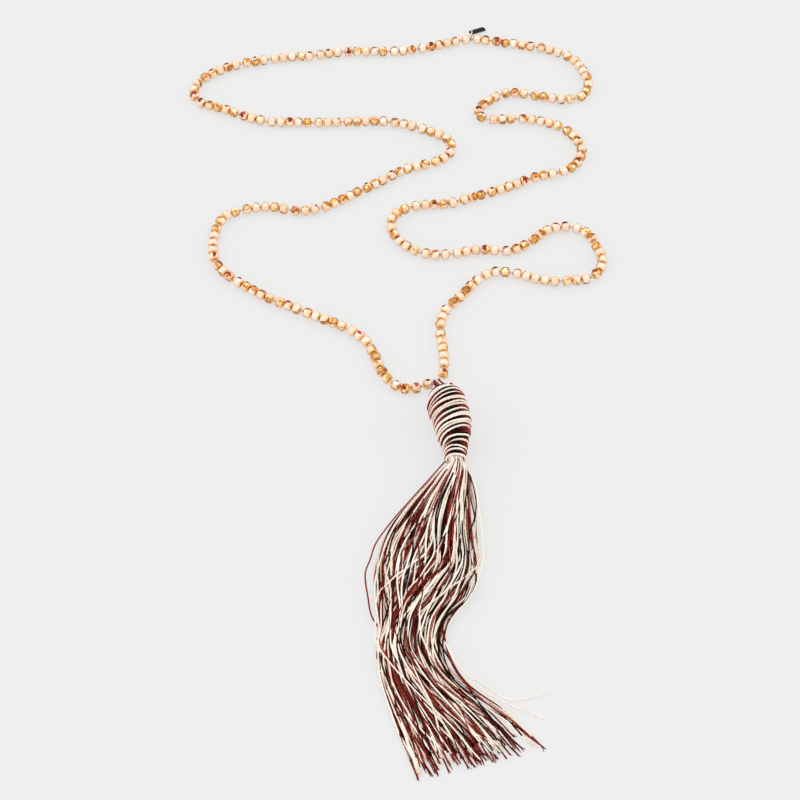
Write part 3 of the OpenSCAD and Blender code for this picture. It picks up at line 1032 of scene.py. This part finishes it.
def waves(least, most, size):
    """A smooth wander along a strand, of two waves with lengths in mm between least and most."""
    lengths = skirt_rng.uniform(least, most, 2)
    starts = skirt_rng.uniform(0, 2 * math.pi, 2)
    turns = 2 * math.pi * along * SKIRT_RUN
    first, second = [np.sin(turns / one + start) for one, start in zip(lengths, starts)]
    return size * (first + SECOND_WAVE * second)


loose = eased(along / LOOSE)
for count, cream_share, top, sweeps, begins, ends, layers in GROUPS:
    for n in range(count):
        start = top[0] + (top[1] - top[0]) * (n + skirt_rng.uniform(0, 1)) / count
        bottom = ends[0] + (ends[1] - ends[0]) * (n + 0.5) / count + CROSSING * (n * SILVER % 1 - 0.5)
        begin = skirt_rng.uniform(*begins)
        lasts = skirt_rng.uniform(*SWEEP_LASTS)
        swept = start - skirt_rng.uniform(*sweeps)
        across = start + (swept - start) * eased((along - begin) / lasts)
        across = across + loose * waves(*WANDER_WAVES, skirt_rng.uniform(*WANDER_SIZE))
        gather = skirt_rng.uniform(*GATHER_BEGINS)
        across = across + (bottom - swept) * eased((along - gather) / GATHER_LASTS)
        across = across + LOCK_PULL * np.sin(2 * math.pi * (LOCKS * across + LOCK_SLANT * along))
        layer = skirt_rng.uniform(*layers) + waves(*LIFT_WAVES, LIFT_SIZE)
        mixed = (n * GOLDEN + skirt_rng.uniform(0, MIXING)) % 1
        tint = "cream" if mixed < cream_share else "brown"
        if tint == "cream":
            layer = layer - skirt_rng.uniform(*DIVE) * eased((along - DIVE_FROM) / DIVE_LASTS)
        tone = skirt_rng.uniform(*STRAND_TONE[tint])
        # The strands beneath: dusty, or painted nearly black as painted shade
        if layers[0] == 0:
            tone = skirt_rng.uniform(*(DUSTY if n % DUSTY_EVERY == 0 else NEARLY_BLACK_SHADE))
        tone = tone + (CUT_TONE - tone) * eased((along - CUT_FROM) / CUT_LASTS)
        tip = skirt_rng.uniform(*TIP[tint])
        lay_strand(tint, across, layer, tip, tone)

# Strands that lie apart from the rest, by points along them in mm
STRAY_STEPS = 6
STRAY_TONE = 0.3
STRAYS = [
    ("brown", [
        (29, -80, 8), (20, -92, 7.5), (7, -109.5, 7), (0.5, -118, 6), (-7, -130, 5),
        (-10, -140, 4.5), (-12.5, -149, 4), (-11, -162, 3), (-9, -173, 2.5), (-4, -182, 2),
    ]),
    ("cream", [
        (36, -79, 9), (43, -93, 8), (45.5, -112, 8), (47, -130, 7), (47, -141, 6),
        (44, -153, 5), (42, -159, 5), (38, -166, 5), (32, -174, 5),
    ]),
    ("cream", [
        (27, -190, 6), (32, -202, 6), (39, -210, 5), (46.5, -217.5, 4), (55.5, -222, 2),
        (65, -226, 1), (75, -230.5, 0.6),
    ]),
    ("cream", [
        (29, -194, 6), (34, -204.5, 5), (48.5, -215.5, 3), (58, -220, 1.5), (68, -218.5, 1),
        (76.5, -215, 0.6),
    ]),
    ("brown", [
        (27, -188, 6), (29, -198, 5), (32.5, -207, 5), (39, -216, 4.5), (45.5, -222.5, 4),
        (51.5, -227, 3), (58, -231.5, 2), (64, -237, 1.2), (70, -242.5, 0.6),
    ]),
    ("cream", [
        (-7, -176, 7.5), (-7, -190, 7), (0, -202.5, 7), (10, -215.5, 7), (19.5, -226, 6),
        (29, -236.5, 5.5), (38, -248.5, 4.5), (43, -254.5, 4),
    ]),
]
for tint, points in STRAYS:
    sweep(skirt_stores[tint], smooth(points, STRAY_STEPS), BROWN_R, STRAND_SIDES, STRAY_TONE)

for tint, material in (("cream", cream_cord), ("brown", brown_cord)):
    skirt = piece_of("tassel_strands_" + tint, skirt_stores[tint], material)
    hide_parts("tassel_skirt")


# Head filling
# Inside the winding the strands' upper ends lie side by side and fill the head. They are the same
# waxed viscose cord, painted nearly black as painted shade, and show as dark lines between the rounds,
# where shade falls.
FILLING_PLACES = np.linspace(0.03, 0.93, 24)
FILLING_INSET = 1.3
FILLING_SIDES = 40
FILLING_TONE = 0.8
FILLING_SHADE_BROWNS = [(0.0, "#180301"), (1.0, "#1C0906")]
filling_store = new_store()
filling_r = np.interp(FILLING_PLACES, *zip(*HEAD_ROWS)) - FILLING_INSET
filling_line = head_middle(FILLING_PLACES)
sweep(filling_store, filling_line, filling_r, FILLING_SIDES, FILLING_TONE, ref=head_up)
# Forty cords lie round the bundle, on a slight slant
filling_cord = twisted(
    "cord_filling_painted_shade",
    FILLING_SHADE_BROWNS,
    plies=40,
    pitch=60,
    depth=0.3,
    roughness=0.7,
    sheen=0.1,
)
filling = piece_of("head_filling", filling_store, filling_cord)


# Jump ring
# Nickel plated steel wire, drawn and bent round a mandrel, polished in a drum. It goes round the
# thread at the top of the loop.
NICKEL = "#C9C7C4"
jump_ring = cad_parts["jump_ring"]
# Polished nickel mirrors the room, a little greyer and softer than chrome
nickel = new_material("nickel_plated_wire")
place = add(nickel, "TexCoord")
# Tumbling marks a quarter of a millimetre apart, coarser than real ones so that they show
marks = add(nickel, "TexNoise", {"Scale": 4000.0, "Detail": 2.0}, {"Vector": place.outputs["Object"]})
rough = add(nickel, "MapRange", {"To Min": 0.12, "To Max": 0.28}, {"Value": marks.outputs["Fac"]})
metal = add(
    nickel,
    "BsdfPrincipled",
    {"Base Color": linear(NICKEL), "Metallic": 1.0},
    {"Roughness": rough.outputs["Result"]},
)
add(nickel, "OutputMaterial", {}, {"Surface": metal.outputs[0]})
jump_ring.data.materials.clear()
jump_ring.data.materials.append(nickel)


# Bar tag
# A stamped steel bar with rounded edges and a black baked enamel, smooth and glossy. It hangs on
# the ring by a hole near its end.
ENAMEL_BLACK = "#08080A"
TAG_EDGE_R = 0.15
SAME_CORNER = 0.001
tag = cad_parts["tag_bar"]
# Baked enamel is deep black, with clear but soft highlights
enamel = new_material("black_baked_enamel")
place = add(enamel, "TexCoord")
# The enamel's faint orange peel, about a millimetre wide
peel = add(enamel, "TexNoise", {"Scale": 1000.0, "Detail": 1.0}, {"Vector": place.outputs["Object"]})
peel_bump = add(
    enamel,
    "Bump",
    {"Strength": 0.4, "Distance": 0.02 * MM},
    {"Height": peel.outputs["Fac"]},
)
black = add(
    enamel,
    "BsdfPrincipled",
    {"Base Color": linear(ENAMEL_BLACK), "Roughness": 0.18, "IOR": 1.36},
    {"Normal": peel_bump.outputs[0]},
)
add(enamel, "OutputMaterial", {}, {"Surface": black.outputs[0]})
tag.data.materials.clear()
tag.data.materials.append(enamel)
weld = tag.modifiers.new("weld", "WELD")
weld.merge_threshold = SAME_CORNER * MM
soft_edge = tag.modifiers.new("soft_edge", "BEVEL")
soft_edge.width = TAG_EDGE_R * MM
soft_edge.segments = 2
soft_edge.limit_method = "ANGLE"


# Studio
# An opal light table in a white room, with softboxes at the left, the right and above. The table
# glows a little, so the object's shadows on it stay faint, and the room's far end is dark.
TABLE_GREY = "#757575"
TABLE_GLOW = 0.65
# Half the table's width in metres, and how far it lies below the object, in mm
TABLE_HALF = 3.0
TABLE_DROP = 0.02
# How bright the room's walls are beside the softboxes
ROOM = 0.95
# Softboxes, and last the dark end: heading and height, half width, all in degrees, and brightness.
# Their edges fade over SOFTBOX_EDGE degrees.
SOFTBOXES = [
    (175, 38, 16, 1.6),
    (10, 36, 16, 1.2),
    (95, 66, 12, 1.6),
    (250, 60, 9, 1.2),
    (90, 6, 14, -0.7),
]
SOFTBOX_EDGE = 4
VIEW_GAMMA = 0.88
WHITE = (1, 1, 1, 1)
table_mesh = bpy.data.meshes.new("light_table")
signs = ((-1, -1), (1, -1), (1, 1), (-1, 1))
table_corners = [(x * TABLE_HALF, y * TABLE_HALF, 0) for x, y in signs]
table_mesh.from_pydata(table_corners, [], [(0, 1, 2, 3)])
table = bpy.data.objects.new("light_table", table_mesh)
table.location = (0, 0, -TABLE_DROP * MM)
bpy.context.scene.collection.objects.link(table)
# Matt opal acrylic, lit from beneath
opal = new_material("opal_acrylic")
matt = add(
    opal,
    "BsdfPrincipled",
    {
        "Base Color": linear(TABLE_GREY),
        "Roughness": 0.9,
        "IOR": 1.3,
        "Emission Color": WHITE,
        "Emission Strength": TABLE_GLOW,
    },
)
add(opal, "OutputMaterial", {}, {"Surface": matt.outputs[0]})
table_mesh.materials.append(opal)
table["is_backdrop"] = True

world = bpy.data.worlds.new("studio")
bpy.context.scene.world = world
world.use_nodes = True
world.node_tree.nodes.clear()
heading = add(world, "TexCoord").outputs["Generated"]
glow = add(world, "Math", {"operation": "ADD", 0: ROOM, 1: 0.0}).outputs[0]
for around, above, half_width, bright in SOFTBOXES:
    flat = math.cos(math.radians(above))
    aim = (
        flat * math.cos(math.radians(around)),
        flat * math.sin(math.radians(around)),
        math.sin(math.radians(above)),
    )
    towards = add(world, "VectorMath", {"operation": "DOT_PRODUCT", 1: aim}, {0: heading})
    box = add(
        world,
        "MapRange",
        {
            "From Min": math.cos(math.radians(half_width + SOFTBOX_EDGE)),
            "From Max": math.cos(math.radians(half_width)),
            "To Max": bright,
        },
        {"Value": towards.outputs["Value"]},
    )
    glow = add(world, "Math", {"operation": "ADD"}, {0: glow, 1: box.outputs["Result"]}).outputs[0]
room = add(world, "Background", {"Color": WHITE}, {"Strength": glow})
add(world, "OutputWorld", {}, {"Surface": room.outputs[0]})
# A plain view, with the middle tones a little deeper
bpy.context.scene.view_settings.view_transform = "Standard"
bpy.context.scene.view_settings.gamma = VIEW_GAMMA

low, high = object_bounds()
